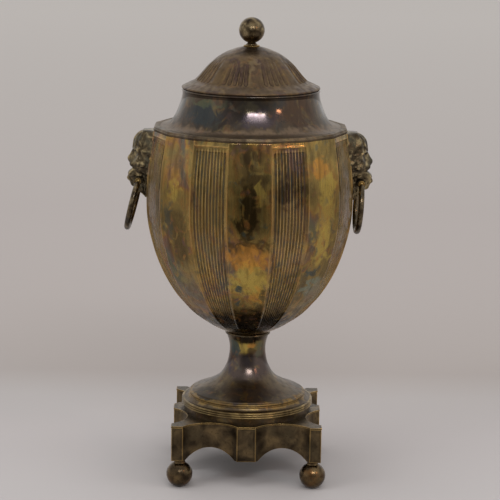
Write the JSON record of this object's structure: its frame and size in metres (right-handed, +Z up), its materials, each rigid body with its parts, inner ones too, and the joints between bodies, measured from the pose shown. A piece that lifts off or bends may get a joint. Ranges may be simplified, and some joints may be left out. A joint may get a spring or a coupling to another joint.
{
  "type": "tea urn",
  "caption": "Vase-shaped tea urn with fluted panels, lion mask ring handles, domed lid with ball finial, trumpet foot on a square ball-footed plinth, tap and heater tube.",
  "frame": {"origin": "centre of the resting plane under the urn's axis, on the flats of the ball feet", "axes": "+Z up along the urn's axis; the tap points to +Y, the plain front panel faces -Y, the masks face -X and +X"},
  "size_m": [0.2691, 0.265, 0.5],
  "materials": {
    "foot_balls": "worn polished",
    "plinth_metal": "aged, worn bright on the edges",
    "pedestal_metal": "tarnished plate",
    "fixings": "plain",
    "body_plate": "iridescent tarnished plate",
    "shoulder_plate": "tarnished plate",
    "lid_plate": "tarnished plate, satin",
    "finial_metal": "worn polished",
    "mask_metal": "cast, darkened in the hollows",
    "tinned_metal": "tinned",
    "iron": "scaled from the fire",
    "tap_metal": "worn plate",
    "seal_leather": "greased",
    "grip_wood": "ebonised, turned"
  },
  "bodies": {
    "root": {"ball_foot_front_right": "foot_balls", "ball_foot_back_right": "foot_balls", "ball_foot_back_left": "foot_balls", "ball_foot_front_left": "foot_balls", "corner_post_front_right": "plinth_metal", "corner_post_back_right": "plinth_metal", "corner_post_back_left": "plinth_metal", "corner_post_front_left": "plinth_metal", "mid_pilaster_front": "plinth_metal", "mid_pilaster_right": "plinth_metal", "mid_pilaster_back": "plinth_metal", "mid_pilaster_left": "plinth_metal", "plinth_skirt_front": "plinth_metal", "plinth_skirt_right": "plinth_metal", "plinth_skirt_back": "plinth_metal", "plinth_skirt_left": "plinth_metal", "plinth_top": "plinth_metal", "pedestal_foot": "pedestal_metal", "foot_reeded_band": "pedestal_metal", "stem_collar": "pedestal_metal", "draw_rod": "fixings", "draw_rod_washer": "fixings", "draw_rod_nut": "fixings", "vessel_body": "body_plate", "shoulder_moulding": "shoulder_plate", "shoulder_neck": "shoulder_plate", "neck_rim": "shoulder_plate", "mask_left": "mask_metal", "mask_right": "mask_metal", "ring_pin_left": "mask_metal", "ring_pin_right": "mask_metal", "heater_tube": "tinned_metal", "tap_flange": "tap_metal", "tap_backnut": "tap_metal", "tap_body": "tap_metal", "tap_seal": "seal_leather"},
    "lid": {"lid": "lid_plate", "lid_bezel": "lid_plate", "finial": "finial_metal", "finial_collar": "finial_metal", "finial_nut": "fixings"},
    "ring_left": {"ring_handle_left": "mask_metal"},
    "ring_right": {"ring_handle_right": "mask_metal"},
    "tube_cap": {"tube_cap": "tinned_metal", "tube_cap_knob": "tinned_metal"},
    "heater_iron": {"heater_iron": "iron"},
    "tap_plug": {"tap_plug": "tap_metal", "tap_plug_washer": "tap_metal", "tap_plug_nut": "tap_metal", "tap_lever": "tap_metal", "tap_grip": "grip_wood", "tap_lever_screw": "tap_metal"}
  },
  "joints": [
    {"name": "lid_lift", "type": "slide", "parent": "root", "child": "lid", "axis": [0, 0, 1], "range_m": [0, 0.12]},
    {"name": "ring_left_swing", "type": "hinge", "parent": "root", "child": "ring_left", "pos_m": [-0.12, 0, 0.323], "axis": [0.0436, 0.999, 0], "range_deg": [-19, 136.5]},
    {"name": "ring_right_swing", "type": "hinge", "parent": "root", "child": "ring_right", "pos_m": [0.12, 0, 0.323], "axis": [0.0436, -0.999, 0], "range_deg": [-2, 153.5]},
    {"name": "tap_turn", "type": "hinge", "parent": "root", "child": "tap_plug", "pos_m": [0, 0.1164, 0.208], "axis": [0, 0, 1], "range_deg": [0, 90]},
    {"name": "tube_cap_lift", "type": "slide", "parent": "root", "child": "tube_cap", "axis": [0, 0, 1], "range_m": [0, 0.11]},
    {"name": "heater_iron_lift", "type": "slide", "parent": "root", "child": "heater_iron", "axis": [0, 0, 1], "range_m": [0, 0.008]}
  ]
}
